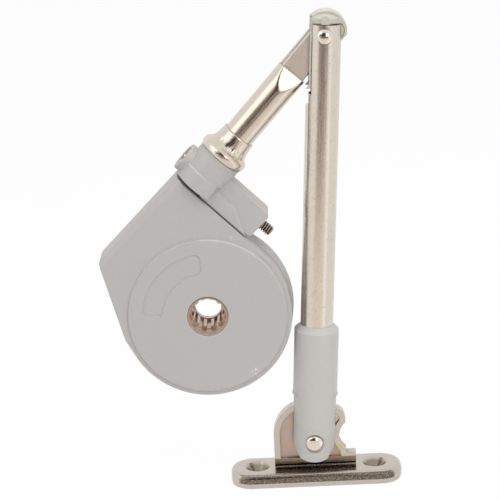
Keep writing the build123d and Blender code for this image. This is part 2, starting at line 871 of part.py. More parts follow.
# Liner: plastic strip behind the link, wider than it, with a tongue in the tube
with BuildPart() as link_liner:
    with BuildSketch(arm_side.offset(liner_back_h)) as liner_outline:
        with Locations(((liner_from + elbow_reach) / 2, 0)):
            Rectangle(elbow_reach - liner_from, liner_w)
        low_start = liner_outline.vertices().sort_by_distance((liner_from, -liner_w / 2))[0]
        chamfer(low_start, liner_cut)
        low_end = liner_outline.vertices().sort_by_distance((elbow_reach, -liner_w / 2))[0]
        chamfer(low_end, liner_end_cut)
        with Locations(((liner_tongue_from + liner_from) / 2, 0)):
            Rectangle(liner_from - liner_tongue_from, liner_tongue_w)
        with Locations((elbow_reach, 0)):
            Circle(liner_eye_r)
            Circle(rivet_r + running_gap, mode=Mode.SUBTRACT)
    extrude(amount=liner_t)
link_liner.part.label = "link_liner"

# Elbow rivet: shank across the outer arm with a domed head at both ends
with BuildPart() as elbow_rivet:
    with BuildSketch(elbow_plane.offset(-elbow_seat)):
        Circle(rivet_r)
    extrude(amount=2 * elbow_seat)
    for seat, direction in ((elbow_seat, 1), (-elbow_seat, -1)):
        with BuildSketch(elbow_section):
            with BuildLine():
                Polyline((elbow_head_r, seat), (0, seat), (0, seat + direction * elbow_head_t))
                ThreePointArc(
                    (0, seat + direction * elbow_head_t),
                    (elbow_head_r * dome_mid_r, seat + direction * elbow_head_t * dome_mid_t),
                    (elbow_head_r, seat),
                )
            make_face()
        revolve(axis=elbow_line)
elbow_rivet.part.label = "elbow_rivet"

# Spacer washers between the link's two faces and the tube
with BuildPart() as elbow_washers:
    for low, high in (
        (link_top_h + fit_gap - arm_h, elbow_washer_h),
        (-elbow_washer_h, liner_back_h - fit_gap - arm_h),
    ):
        with BuildSketch(elbow_plane.offset(low)):
            Circle(elbow_washer_r)
            Circle(rivet_r + fit_gap, mode=Mode.SUBTRACT)
        extrude(amount=high - low)
elbow_washers.part.label = "elbow_washers"

# Outer arm: tube with a seam on its left, slotted for the link at the top
with BuildPart() as outer_arm:
    with BuildSketch(stay_cross.offset(stay_from)):
        Circle(stay_r)
        Circle(stay_bore_r, mode=Mode.SUBTRACT)
    extrude(amount=stay_top - stay_from)
    with BuildSketch(stay_mid):
        with BuildLine():
            Polyline(
                (slot_from, slot_cut),
                (stay_top + cut_over, slot_cut),
                (stay_top + cut_over, stay_r + cut_over),
                (step_from, stay_r + cut_over),
                (step_from, step_cut),
                (slot_from, step_cut),
                close=True,
            )
        make_face()
    extrude(amount=stay_r, both=True, mode=Mode.SUBTRACT)
    with BuildSketch(stay_mid.offset(-eye_slot_half)):
        with Locations((stay_len, 0)):
            Circle(eye_slot_r)
        with Locations(((eye_low + stay_top + cut_over) / 2, stay_r)):
            Rectangle(stay_top + cut_over - eye_low, 2 * stay_r)
        with Locations((stay_len, -stay_r)):
            Rectangle(4 * stay_r, 2 * stay_r, mode=Mode.SUBTRACT)
    extrude(amount=2 * eye_slot_half, mode=Mode.SUBTRACT)
    with BuildSketch(stay_mid.offset(-fin_half - fin_gap)):
        with Locations(((eye_low + stay_top + cut_over) / 2, -stay_r)):
            Rectangle(stay_top + cut_over - eye_low, 2 * stay_r)
    extrude(amount=2 * (fin_half + fin_gap), mode=Mode.SUBTRACT)
    with BuildSketch(stay_cross.offset(slot_from)):
        with Locations((stay_r, 0)):
            Rectangle(2 * stay_r, 2 * link_slot_half)
    extrude(amount=stay_len - slot_from, mode=Mode.SUBTRACT)
    with BuildSketch(stay_cross.offset(stay_from)):
        with Locations((seam_offset, seam_front)):
            Rectangle(2 * seam_depth, seam_w, rotation=seam_turn)
    extrude(amount=step_from - stay_from, mode=Mode.SUBTRACT)
    with BuildSketch(elbow_plane.offset(-stay_r)):
        Circle(rivet_r)
    extrude(amount=2 * stay_r, mode=Mode.SUBTRACT)
    for side in (elbow_seat, -stay_r):
        with BuildSketch(elbow_plane.offset(side)):
            Circle(elbow_head_r + fit_gap)
        extrude(amount=stay_r - elbow_seat, mode=Mode.SUBTRACT)
outer_arm.part.label = "outer_arm"

# Cap: dome over the tube's end, fin around the link's eye, rails along the edges of the slot
with BuildPart() as end_cap:
    with BuildSketch(stay_mid):
        with BuildLine():
            Polyline((dome_from, 0), (dome_from, dome_r), (dome_from + dome_lip, dome_r))
            RadiusArc((dome_from + dome_lip, dome_r), (dome_from + dome_t, 0), dome_curve_r)
            Line((dome_from + dome_t, 0), (dome_from, 0))
        make_face()
    revolve(axis=stay_axis)
    with BuildSketch(stay_mid.offset(-cap_half)):
        with Locations((stay_len + cap_up, -cap_aside)):
            Circle(cap_r)
    extrude(amount=2 * cap_half)
    with BuildSketch(stay_mid.offset(-dome_r)):
        with Locations((stay_len, cap_left + cap_r)):
            Rectangle(4 * cap_r, 2 * cap_r)
        with BuildLine():
            Polyline(
                (cap_low, 2 * cap_r),
                (cap_low, -stay_r),
                (cap_low + 2 * fin_slant, -stay_r - 2 * fin_slant_w),
                (cap_low - 2 * cap_r, -stay_r - 2 * fin_slant_w),
                (cap_low - 2 * cap_r, 2 * cap_r),
                close=True,
            )
        make_face()
    extrude(amount=2 * dome_r, mode=Mode.SUBTRACT)
    for low in (fin_half, -dome_r):
        with BuildSketch(stay_mid.offset(low)):
            with BuildLine():
                Polyline(
                    (stay_len - 2 * cap_r, 0),
                    (dome_from, 0),
                    (dome_from, -dome_r),
                    (dome_from + dome_t, -dome_r),
                    (dome_from + dome_t, -2 * cap_r),
                    (stay_len - 2 * cap_r, -2 * cap_r),
                    close=True,
                )
            make_face()
        extrude(amount=dome_r - fin_half, mode=Mode.SUBTRACT)
    with BuildSketch(stay_mid.offset(cap_half)):
        with Locations((dome_from - tab_over + (tab_len - tab_w / 2) / 2, 0)):
            Rectangle(tab_len - tab_w / 2, tab_w)
        with Locations((dome_from - tab_over + tab_len - tab_w / 2, 0)):
            Circle(tab_w / 2)
    extrude(amount=dome_r + tab_proud - cap_half)
    for low in (rail_in, -rail_out):
        with BuildSketch(stay_mid.offset(low)):
            with Locations(((rail_from + stay_len) / 2, cap_left - rail_lap / 2)):
                Rectangle(stay_len - rail_from, rail_lap)
            with BuildLine():
                Polyline(
                    (rail_from, cap_left - rail_lap),
                    (rail_from, cap_left + rail_toe),
                    (rail_from + rail_toe_t, cap_left),
                    (rail_from + rail_toe_t, cap_left - rail_lap),
                    close=True,
                )
            make_face()
        extrude(amount=rail_out - rail_in)
    with BuildSketch(stay_mid.offset(cap_wall - cap_half)):
        with Locations((stay_len, 0)):
            Circle(cap_pocket_r)
        with Locations((stay_len + (cap_open_rise - cap_pocket_r) / 2, cap_open_from + cap_pocket_r)):
            Rectangle(cap_open_rise + cap_pocket_r, 2 * cap_pocket_r)
    extrude(amount=2 * (cap_half - cap_wall), mode=Mode.SUBTRACT)
    with BuildSketch(elbow_plane.offset(-cap_half)):
        Circle(elbow_washer_r + 2 * fit_gap)
    extrude(amount=2 * cap_half, mode=Mode.SUBTRACT)
end_cap.part.label = "end_cap"

# Fork sleeve: round above, two cheeks below
with BuildPart() as fork_sleeve:
    with BuildSketch(stay_cross.offset(fork_root)):
        Circle(sleeve_r)
    extrude(amount=sleeve_top - fork_root)
    chamfer(fork_sleeve.edges().sort_by(stay_axis)[-1], sleeve_chamfer)
    with BuildSketch(stay_cross.offset(fork_root)):
        Circle(sleeve_lip_r)
    extrude(amount=sleeve_lip_t, taper=lip_taper)
    with BuildSketch(stay_cross.offset(fork_root)):
        Rectangle(2 * sleeve_lip_open, 4 * sleeve_r)
        Circle(sleeve_r, mode=Mode.SUBTRACT)
    extrude(amount=sleeve_lip_t, mode=Mode.SUBTRACT)
    with BuildSketch(stay_mid.offset(-sleeve_r)):
        with BuildLine():
            Line((fork_root, -fork_half), (fork_root, fork_half))
            Line((fork_root, fork_half), (fork_corner, fork_half))
            Line((fork_corner, fork_half), (-fork_low + fork_belly, fork_low_half))
            ThreePointArc(
                (-fork_low + fork_belly, fork_low_half),
                (-fork_low, 0),
                (-fork_low + fork_belly, -fork_low_half),
            )
            Line((-fork_low + fork_belly, -fork_low_half), (fork_corner, -fork_half))
            Line((fork_corner, -fork_half), (fork_root, -fork_half))
        make_face()
    extrude(amount=2 * sleeve_r)
    with BuildSketch(stay_cross.offset(-2 * fork_low)):
        Circle(2 * sleeve_r)
        Circle(sleeve_r, mode=Mode.SUBTRACT)
    extrude(amount=2 * fork_low + fork_root, mode=Mode.SUBTRACT)
    with BuildSketch(stay_mid.offset(-fork_slot_half)):
        with Locations(((fork_root - 2 * fork_low) / 2, 0)):
            Rectangle(fork_root + 2 * fork_low, 4 * sleeve_r)
    extrude(amount=2 * fork_slot_half, mode=Mode.SUBTRACT)
    with BuildSketch(stay_cross.offset(stay_from - fit_gap)):
        Circle(stay_r + fit_gap)
    extrude(amount=sleeve_top - stay_from + fit_gap, mode=Mode.SUBTRACT)
    with BuildSketch(pivot_plane.offset(-sleeve_r)):
        Circle(rivet_r)
    extrude(amount=2 * sleeve_r, mode=Mode.SUBTRACT)
    for side in (foot_seat, -sleeve_r):
        with BuildSketch(pivot_plane.offset(side)):
            Circle(rivet_ring_r)
        extrude(amount=rivet_ring_sink, mode=Mode.SUBTRACT)
fork_sleeve.part.label = "fork_sleeve"

# Foot rivet: shank across the fork with a domed head at both ends
with BuildPart() as foot_rivet:
    with BuildSketch(pivot_plane.offset(-foot_seat)):
        Circle(rivet_r)
    extrude(amount=2 * foot_seat)
    for seat, direction in ((foot_seat, 1), (-foot_seat, -1)):
        with BuildSketch(pivot_section):
            with BuildLine():
                Polyline((foot_head_r, seat), (0, seat), (0, seat + direction * foot_head_t))
                ThreePointArc(
                    (0, seat + direction * foot_head_t),
                    (foot_head_r * dome_mid_r, seat + direction * foot_head_t * dome_mid_t),
                    (foot_head_r, seat),
                )
            make_face()
        revolve(axis=pivot_line)
foot_rivet.part.label = "foot_rivet"

# Washers between the lug and the fork's cheeks
with BuildPart() as foot_washers:
    for low in (lug_t / 2 + fit_gap, -lug_t / 2 - fit_gap - foot_washer_t):
        with BuildSketch(pivot_plane.offset(low)):
            Circle(foot_washer_r)
            Circle(rivet_r + fit_gap, mode=Mode.SUBTRACT)
        extrude(amount=foot_washer_t)
foot_washers.part.label = "foot_washers"

# Foot bracket: two-hole plate and lug in one casting, with a recess inside the lug's rim
with BuildPart() as foot_bracket:
    with BuildSketch(plate_plane):
        RectangleRounded(plate_len, plate_w, plate_corner_r)
    extrude(amount=plate_t)
    fillet(foot_bracket.edges().group_by(Axis.Z)[-1], plate_edge)
    with BuildSketch(plate_plane):
        RectangleRounded(plate_len, plate_w, plate_corner_r)
        RectangleRounded(
            plate_len - 2 * foot_step_in,
            plate_w - 2 * foot_step_in,
            plate_corner_r - foot_step_in,
            mode=Mode.SUBTRACT,
        )
    extrude(amount=foot_step, mode=Mode.SUBTRACT)
    with Locations(plate_plane.offset(plate_t)):
        with GridLocations(hole_spacing, 0, 2, 1):
            CounterSinkHole(hole_r, sink_r)
    with BuildSketch(pivot_plane.offset(-lug_t / 2)) as lug_outline:
        with Locations((lug_head_x, lug_head_z)):
            Circle(lug_head_r)
        with Locations((lug_horn_x, lug_horn_z)):
            Circle(lug_horn_r)
        with BuildLine():
            Polyline(
                (-lug_left, -plate_drop),
                (lug_right, -plate_drop),
                (lug_right, lug_shelf),
                (lug_horn_x + lug_horn_r, lug_shelf),
                (lug_horn_x + lug_horn_r, lug_horn_z),
                (lug_horn_x, lug_horn_z + lug_horn_r),
                (lug_head_x, lug_head_z + lug_head_r),
                (-lug_left, lug_head_z),
                close=True,
            )
        make_face()
        with Locations((notch_x, notch_z)):
            Circle(notch_r, mode=Mode.SUBTRACT)
        horn_low = lug_outline.vertices().sort_by_distance((lug_horn_x + lug_horn_r, notch_z + notch_r))[0]
        fillet(horn_low, lug_horn_round)
    extrude(amount=lug_t)
    for side, direction in ((lug_t / 2 - lug_recess, 1), (lug_recess - lug_t / 2, -1)):
        with BuildSketch(pivot_plane.offset(side)):
            add(lug_outline.sketch_local)
            with Locations((0, -plate_drop)):
                Rectangle(4 * lug_left, 2 * rim_low, mode=Mode.SUBTRACT)
            offset(amount=-rim_w)
            Circle(pivot_boss_r, mode=Mode.SUBTRACT)
        extrude(amount=direction * lug_recess, mode=Mode.SUBTRACT)
    for side in (lug_t / 2 - neck_groove, -lug_t / 2):
        with BuildSketch(pivot_plane.offset(side)):
            with Locations((0, rim_low / 2 - plate_drop)):
                Rectangle(4 * lug_left, rim_low)
        extrude(amount=neck_groove, mode=Mode.SUBTRACT)
    with BuildSketch(pivot_plane.offset(-lug_t / 2)):
        Circle(rivet_r + running_gap)
    extrude(amount=lug_t, mode=Mode.SUBTRACT)
foot_bracket.part.label = "foot_bracket"

pieces = [
    hub,
    hub_washers,
    front_cover,
    rear_housing,
    housing_screws,
    drum_spring,
    spring_shoe,
    shoe_nut,
    adjusting_screw,
    screw_washer,
    screw_clip,
    arm_ferrule,
    inner_arm,
    arm_link,
    link_liner,
    elbow_rivet,
    elbow_washers,
    outer_arm,
    end_cap,
    fork_sleeve,
    foot_rivet,
    foot_washers,
    foot_bracket,
]
os.makedirs("parts", exist_ok=True)
for piece in pieces:
    export_step(piece.part, f"parts/{piece.part.label}.step")
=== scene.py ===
import bpy
import bmesh
import json
import math
from mathutils import Matrix, Vector, noise


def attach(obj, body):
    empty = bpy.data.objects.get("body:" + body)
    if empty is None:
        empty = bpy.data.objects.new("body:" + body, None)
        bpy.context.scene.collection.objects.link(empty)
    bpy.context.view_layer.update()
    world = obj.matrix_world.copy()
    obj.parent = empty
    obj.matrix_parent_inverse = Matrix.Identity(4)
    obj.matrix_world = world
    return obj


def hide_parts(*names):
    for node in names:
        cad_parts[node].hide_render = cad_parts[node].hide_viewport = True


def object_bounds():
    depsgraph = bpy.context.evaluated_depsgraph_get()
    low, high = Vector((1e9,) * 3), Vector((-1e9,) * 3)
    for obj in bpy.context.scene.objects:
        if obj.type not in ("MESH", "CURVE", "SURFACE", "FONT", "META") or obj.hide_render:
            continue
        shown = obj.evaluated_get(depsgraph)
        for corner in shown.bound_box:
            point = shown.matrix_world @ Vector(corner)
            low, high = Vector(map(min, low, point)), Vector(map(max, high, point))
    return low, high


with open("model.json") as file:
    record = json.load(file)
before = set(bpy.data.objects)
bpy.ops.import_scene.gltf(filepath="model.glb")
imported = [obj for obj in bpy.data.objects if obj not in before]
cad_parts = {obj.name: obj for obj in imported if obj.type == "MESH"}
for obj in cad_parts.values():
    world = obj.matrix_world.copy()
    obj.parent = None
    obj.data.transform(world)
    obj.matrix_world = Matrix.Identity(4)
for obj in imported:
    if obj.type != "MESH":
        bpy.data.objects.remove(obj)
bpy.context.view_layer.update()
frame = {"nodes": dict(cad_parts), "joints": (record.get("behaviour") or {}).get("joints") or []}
mm = 0.001
joints = {joint["name"]: joint for joint in frame["joints"]}
print("stage: frame loaded,", len(frame["nodes"]), "nodes")


# Small tools

def colour(hexText):  # sRGB hex to the linear values that Blender works in
    parts = [int(hexText[i:i + 2], 16) / 255 for i in (1, 3, 5)]
    return [p / 12.92 if p <= 0.04045 else ((p + 0.055) / 1.055) ** 2.4 for p in parts] + [1.0]


def addNode(tree, kind, settings=None, links=None):
    node = tree.nodes.new(kind)
    for key, value in (settings or {}).items():
        if isinstance(key, int) or key in node.inputs:
            node.inputs[key].default_value = value
        else:
            setattr(node, key, value)
    for key, source in (links or {}).items():
        tree.links.new(source, node.inputs[key])
    return node


def newPiece(name, mesh, body, material):
    piece = bpy.data.objects.new(name, mesh)
    bpy.context.scene.collection.objects.link(piece)
    mesh.materials.clear()
    mesh.materials.append(material)
    mesh.shade_smooth()
    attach(piece, body)
    return piece


def ringMesh(name, rings, closed):
    # Quads between rings of points; closed joins the last ring to the first, else both ends are capped
    mesh = bpy.data.meshes.new(name)
    count = len(rings[0])
    points = [point for ring in rings for point in ring]
    faces = []
    pairs = len(rings) if closed else len(rings) - 1
    for i in range(pairs):
        a = i * count
        b = ((i + 1) % len(rings)) * count
        for k in range(count):
            n = (k + 1) % count
            faces.append((a + k, a + n, b + n, b + k))
    if not closed:
        faces.append(tuple(reversed(range(count))))
        faces.append(tuple(range(len(points) - count, len(points))))
    mesh.from_pydata(points, [], faces)
    mesh.validate()
    mesh.update()
    return mesh


def applied(piece):
    # The piece's mesh with its modifiers worked in
    bpy.context.view_layer.update()
    seen = piece.evaluated_get(bpy.context.evaluated_depsgraph_get())
    mesh = bpy.data.meshes.new_from_object(seen)
    piece.modifiers.clear()
    piece.data = mesh
    return mesh


def sharpen(mesh, degrees):
    mesh.shade_smooth()
    mesh.set_sharp_from_angle(angle=math.radians(degrees))


def easeStep(value, low, high):
    t = min(max((value - low) / (high - low), 0.0), 1.0)
    return t * t * (3 - 2 * t)


def smoothMin(a, b, width):
    h = max(width - abs(a - b), 0.0) / width
    return min(a, b) - h * h * width / 4


def smoothCurve(knots, steps):
    # Catmull-Rom through the knots
    points = []
    for i in range(len(knots) - 1):
        p0 = knots[max(i - 1, 0)]
        p1, p2 = knots[i], knots[i + 1]
        p3 = knots[min(i + 2, len(knots) - 1)]
        for j in range(steps):
            t = j / steps
            points.append(tuple(
                0.5 * (2 * b + (c - a) * t + (2 * a - 5 * b + 4 * c - d) * t * t
                       + (3 * b - a - 3 * c + d) * t ** 3)
                for a, b, c, d in zip(p0, p1, p2, p3)))
    points.append(tuple(knots[-1]))
    return points


# Lines that the parts follow, all in the row frame

elbow = Vector(joints["elbow"]["pos_m"])
pivot = Vector(joints["foot_pivot"]["pos_m"])
screwFoot = Vector(joints["screw_turn"]["pos_m"])
screwWay = Vector(joints["screw_turn"]["axis"]).normalized()
front = Vector((0, -1, 0))
armLine = {"angle": 47.8, "reach": 105.395}  # direction of the inner arm, and the elbow's place along it
armWay = Vector((math.cos(math.radians(armLine["angle"])), 0, math.sin(math.radians(armLine["angle"]))))
armFoot = elbow - armWay * armLine["reach"] * mm
stayWay = (elbow - pivot).normalized()


def onLine(foot, way):
    # Gives a function of distance along the line, offset to its left and height towards the front, in mm
    left = front.cross(way)
    return lambda along, aside, ahead: foot + (way * along + left * aside + front * ahead) * mm


onArm = onLine(armFoot, armWay)
onStay = onLine(pivot, stayWay)
onScrew = onLine(screwFoot, screwWay)


# Materials: pattern sizes, edges and depths are in mm, places in metres

def startMaterial(name):
    material = bpy.data.materials.new(name)
    material.use_nodes = True
    tree = material.node_tree
    tree.nodes.clear()
    output = addNode(tree, "ShaderNodeOutputMaterial")
    shader = addNode(tree, "ShaderNodeBsdfPrincipled")
    tree.links.new(shader.outputs[0], output.inputs["Surface"])
    place = addNode(tree, "ShaderNodeTexCoord").outputs["Object"]
    return material, tree, shader, place


def setInput(tree, node, key, value):
    # A socket is linked, anything else is set as the input's value, with a hex text read as a colour
    if isinstance(value, bpy.types.NodeSocket):
        tree.links.new(value, node.inputs[key])
    else:
        node.inputs[key].default_value = colour(value) if isinstance(value, str) else value


def noiseAt(tree, place, size, detail, rough=0.5):
    settings = {"Scale": 1 / (size * mm), "Detail": detail, "Roughness": rough}
    return addNode(tree, "ShaderNodeTexNoise", settings, {"Vector": place}).outputs[0]


def remap(tree, value, low, high, toLow=0.0, toHigh=1.0):
    settings = {"From Min": low, "From Max": high, "To Min": toLow, "To Max": toHigh}
    return addNode(tree, "ShaderNodeMapRange", settings, {"Value": value}).outputs[0]


def calculate(tree, operation, *values):
    node = addNode(tree, "ShaderNodeMath", {"operation": operation})
    for key, value in enumerate(values):
        setInput(tree, node, key, value)
    return node.outputs[0]


def mixShades(tree, share, first, second, blend="MIX"):
    node = addNode(tree, "ShaderNodeMix", {"data_type": "RGBA", "blend_type": blend})
    for key, value in ((0, share), (6, first), (7, second)):
        setInput(tree, node, key, value)
    return node.outputs[2]


def vectorMath(tree, operation, inputs, output="Vector"):
    node = addNode(tree, "ShaderNodeVectorMath", {"operation": operation})
    for key, value in inputs.items():
        setInput(tree, node, key, value)
    return node.outputs[output]


def distanceTo(tree, place, spot):
    return vectorMath(tree, "DISTANCE", {0: place, 1: spot}, "Value")


def roundedNormal(tree, edge, samples=4):
    return addNode(tree, "ShaderNodeBevel", {"samples": samples, "Radius": edge * mm}).outputs[0]


def addBumps(tree, shader, normal, layers):
    # Each layer is a height, a strength and a depth, and lies on the one before
    for height, strength, depth in layers:
        links = {"Height": height}
        if normal is not None:
            links["Normal"] = normal
        settings = {"Strength": strength, "Distance": depth * mm}
        normal = addNode(tree, "ShaderNodeBump", settings, links).outputs[0]
    tree.links.new(normal, shader.inputs["Normal"])


def alongGrain(tree, place, way, keep):
    # Coordinates squeezed along a line, so that a pattern runs along it
    share = vectorMath(tree, "DOT_PRODUCT", {0: place, 1: way}, "Value")
    along = vectorMath(tree, "SCALE", {0: way, "Scale": share})
    less = vectorMath(tree, "SCALE", {0: along, "Scale": 1 - keep})
    return vectorMath(tree, "SUBTRACT", {0: place, 1: less})


absSet = {
    "ior": 1.53,
    "cloudSize": 26,
    "speckSize": 0.55,
    "speckTones": (0.972, 1.02),
    "tornSize": 0.9,  # scuffs break up at this size
    "edge": 0.28,
    # The next three set the painted highlight on edges: the rounding that finds the edges, the highlight's
    # shade and its share
    "paintedHighlightEdge": 0.2,
    "paintedHighlightShade": "#E6E4DF",
    "paintedHighlightShare": 0.9,
    "grainSize": 0.3,  # spark-eroded grain is about 0.05 mm; drawn larger so that it shows
    "grainDepth": 0.02,
    "waveDepth": 0.12,
}


def mouldedAbs(name, warm, cool, rough, scuffs=()):
    # ABS, injection moulded in a spark-eroded tool: even warm grey, a satin bloom, soft edges and a painted
    # highlight that makes the edges paler
    s = absSet
    material, tree, shader, place = startMaterial(name)
    cloud = noiseAt(tree, place, s["cloudSize"], 3)
    speck = remap(tree, noiseAt(tree, place, s["speckSize"], 2), 0.3, 0.7, *s["speckTones"])
    painted = mixShades(tree, 1.0, mixShades(tree, cloud, warm, cool), speck, "MULTIPLY")
    for spot, radius, mark in scuffs:
        near = remap(tree, distanceTo(tree, place, spot * mm), radius * mm, radius * 0.3 * mm)
        patch = remap(tree, noiseAt(tree, place, s["tornSize"], 5, 0.7), 0.5, 0.62)
        painted = mixShades(tree, calculate(tree, "MULTIPLY", near, patch), painted, mark)
    flat = addNode(tree, "ShaderNodeNewGeometry").outputs["True Normal"]
    # Painted highlight: at edges, where the rounded normal turns from the flat one, the colour is made paler
    facing = vectorMath(tree, "DOT_PRODUCT", {0: roundedNormal(tree, s["paintedHighlightEdge"], 6), 1: flat}, "Value")
    paintedLight = remap(tree, facing, 0.99, 0.92, 0.0, s["paintedHighlightShare"])
    setInput(tree, shader, "Base Color", mixShades(tree, paintedLight, painted, s["paintedHighlightShade"]))
    setInput(tree, shader, "Roughness", remap(tree, cloud, 0.3, 0.7, rough - 0.05, rough + 0.06))
    setInput(tree, shader, "IOR", s["ior"])
    grain = noiseAt(tree, place, s["grainSize"], 3, 0.6)
    addBumps(tree, shader, roundedNormal(tree, s["edge"], 6),
             [(grain, 0.12, s["grainDepth"]), (cloud, 0.25, s["waveDepth"])])
    return material


nylonSet = {
    "ior": 1.53,
    "pale": "#E6E2D7",
    "dull": "#CFCBBE",
    "cloudSize": 5,
    "slotLineAt": (153.2, -3.9, 1.0),  # on the stay line: the curved slot in the fin, drawn as a line of painted shade
    "slotLineR": 3.08,
    "slotLineWide": (0.17, 0.1),
    "paintedSlotShade": "#6A5140",
    "rough": 0.33,
    "through": 0.3,
    "milk": 0.35,
    "milkDepth": 0.9,
    "grainSize": 0.5,
    "grainDepth": 0.03,
    "edge": 0.15,
}


def naturalNylon(name, s):
    # Polyamide, moulded without dye: milky, lets light through where it is thin, greasy sheen, and a painted
    # shade line along the fin's slot
    material, tree, shader, place = startMaterial(name)
    tone = mixShades(tree, noiseAt(tree, place, s["cloudSize"], 3), s["pale"], s["dull"])
    # Painted shade: a dark line along the fin's curved slot
    away = calculate(tree, "SUBTRACT", distanceTo(tree, place, onStay(*s["slotLineAt"])), s["slotLineR"] * mm)
    wide, narrow = s["slotLineWide"]
    paintedSlotShadow = remap(tree, calculate(tree, "ABSOLUTE", away), wide * mm, narrow * mm, 0.0, 0.85)
    settings = {
        "Base Color": mixShades(tree, paintedSlotShadow, tone, s["paintedSlotShade"]),
        "IOR": s["ior"],
        "Roughness": s["rough"],
        "Transmission Weight": s["through"],
        "Subsurface Weight": s["milk"],
        "Subsurface Radius": (1.0, 0.95, 0.8),
        "Subsurface Scale": s["milkDepth"] * mm,
    }
    for key, value in settings.items():
        setInput(tree, shader, key, value)
    grain = noiseAt(tree, place, s["grainSize"], 2)
    addBumps(tree, shader, roundedNormal(tree, s["edge"]), [(grain, 0.15, s["grainDepth"])])
    return material


platingSet = {
    "lineSize": 0.35,
    "lineDepth": 0.02,
    "cloudSize": 4,
    "pitSize": 0.42,
    "pitShade": "#7A6A5C",
    "peelSize": 0.8,
    "peelDepth": 0.05,
}


def platedNickel(name, bright, dull, rough, way, keep=0.04, pits=0.5, edge=0.12):
    # Nickel over drawn steel: warm white metal, faint draw lines along the tube, pin-sized pits
    s = platingSet
    material, tree, shader, place = startMaterial(name)
    setInput(tree, shader, "Metallic", 1.0)
    lines = noiseAt(tree, alongGrain(tree, place, way, keep), s["lineSize"], 3, 0.6)
    tone = mixShades(tree, noiseAt(tree, place, s["cloudSize"], 4, 0.6), bright, dull)
    pit = remap(tree, noiseAt(tree, place, s["pitSize"], 1), 0.68, 0.74, 0.0, pits)
    setInput(tree, shader, "Base Color", mixShades(tree, pit, tone, s["pitShade"]))
    setInput(tree, shader, "Roughness", remap(tree, lines, 0.3, 0.7, rough * 0.75, rough * 1.3))
    peel = noiseAt(tree, place, s["peelSize"], 3)
    addBumps(tree, shader, roundedNormal(tree, edge),
             [(lines, 0.1, s["lineDepth"]), (peel, 0.2, s["peelDepth"])])
    return material


castSet = {
    "nickel": ("#CDC6BC", "#B9AFA4"),
    "copper": ("#CBA98F", "#B8AEB0"),
    "cloudSize": 5,
    "gritSize": 0.45,
    "gritDepth": 0.06,
    "edge": 0.35,
    "lugHead": (-1.96, 0, 1.5),  # middle of the lug's round head, from the pivot
    "recessR": (11.6, 11.2),
    "recessHalf": (13.1, 12.7),
    "recessDeep": (1.6, 1.3),  # half the lug's thickness there
    "recessFloor": (-8.6, -8.2),
    "recessBelow": (1.4, 1.0),
    "recessRough": 0.25,
    "plateTop": -11.3,
    "plateMiddle": 37.42,
    # ledge: a painted dark reflection on a strip at the lug's base; neck: painted shadow and dark reflection
    # in the undercut neck below it
    "ledgePaintedReflection": {"height": (1.5, 3.5, 0.1), "deep": (1.6, 2.1, 0.1), "shade": "#8E7C6C"},
    "neck": {"height": (0.45, 1.35, 0.3), "deep": (0.0, 1.5, 0.3), "shade": "#1C1714"},
    # front edge: a painted dark reflection along the plate's front, broken up by grain
    "frontEdgePaintedReflection": {"height": (-3.2, -0.55, 0.2), "deep": (8.0, 9.4, 0.8), "shade": "#5F5146"},
    # wall: painted shade on the recess wall around the lug's head
    "wall": {"deep": (1.08, 1.92, 0.04), "nearHead": (12.4, 12.0), "shade": "#2A211D"},
    # holes: a painted dark reflection in the countersunk hole cones
    "holeConePaintedReflection": {"half": 22, "sunk": -1.0, "reach": (4.5, 3.6), "share": 0.75, "shade": "#7E6F62"},
    "spot": {"at": (9.27, -2.0, -3.8), "reach": (1.2, 0.8), "shade": "#C9B878"},
}


def bandOf(tree, value, low, high, soft):
    rise = remap(tree, value, (low - soft) * mm, low * mm)
    fall = remap(tree, value, (high + soft) * mm, high * mm)
    return calculate(tree, "MULTIPLY", rise, fall)


